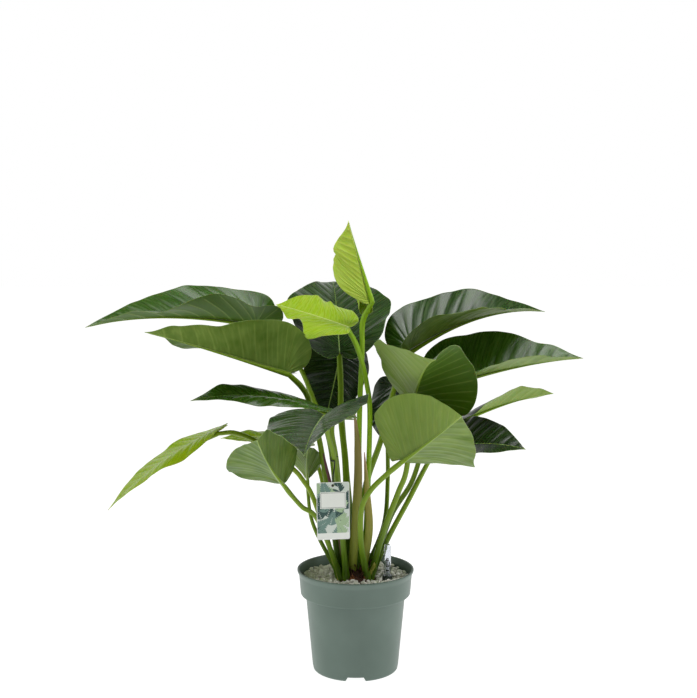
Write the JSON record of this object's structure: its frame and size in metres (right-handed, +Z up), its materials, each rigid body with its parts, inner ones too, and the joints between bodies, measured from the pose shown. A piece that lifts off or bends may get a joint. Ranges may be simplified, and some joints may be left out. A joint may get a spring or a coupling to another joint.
{
  "type": "potted green beauty philodendron",
  "caption": "Leafy philodendron with long heart-shaped leaves on tall petioles, standing in a round plastic nursery pot filled with pumice.",
  "frame": {"origin": "centre of the pot's foot, on the surface that it stands on", "axes": "+Z up out of the pot, +X to the right and +Y away from a viewer in front of the tag"},
  "size_m": [0.9264, 0.7575, 0.833],
  "materials": {
    "pot_plastic": "satin",
    "pumice": "matte",
    "crown_bark": "matte",
    "leaf_dark": "satin",
    "leaf_bright": "satin",
    "leaf_lime": "satin",
    "sheath_olive": "satin",
    "sheath_maroon": "satin",
    "black_plastic": "satin",
    "clear_plastic": "gloss",
    "float_plastic": "gloss",
    "printed_card": "satin"
  },
  "bodies": {
    "root": {"pot": "pot_plastic", "fill": "pumice", "crown": "crown_bark", "leaf_left_upper": "leaf_dark", "leaf_left_broad": "leaf_dark", "leaf_left_low": "leaf_dark", "leaf_front_down": "leaf_dark", "leaf_left_bright": "leaf_bright", "leaf_left_small": "leaf_bright", "leaf_front_left": "leaf_dark", "leaf_front_small": "leaf_dark", "leaf_back_tall": "leaf_dark", "leaf_back_hanging": "leaf_dark", "leaf_lime": "leaf_lime", "leaf_young_rolled": "leaf_lime", "leaf_right_upper": "leaf_dark", "leaf_right_long": "leaf_dark", "leaf_front_right": "leaf_dark", "leaf_front_shield": "leaf_dark", "leaf_right_slim": "leaf_dark", "leaf_right_dark": "leaf_dark", "leaf_right_hidden": "leaf_dark", "cataphyll_center": "sheath_olive", "cataphyll_right": "sheath_olive", "cataphyll_left": "sheath_maroon", "gauge_body": "black_plastic", "gauge_tube": "clear_plastic", "gauge_float": "float_plastic", "tag": "printed_card", "tag_hook": "black_plastic"}
  },
  "joints": []
}
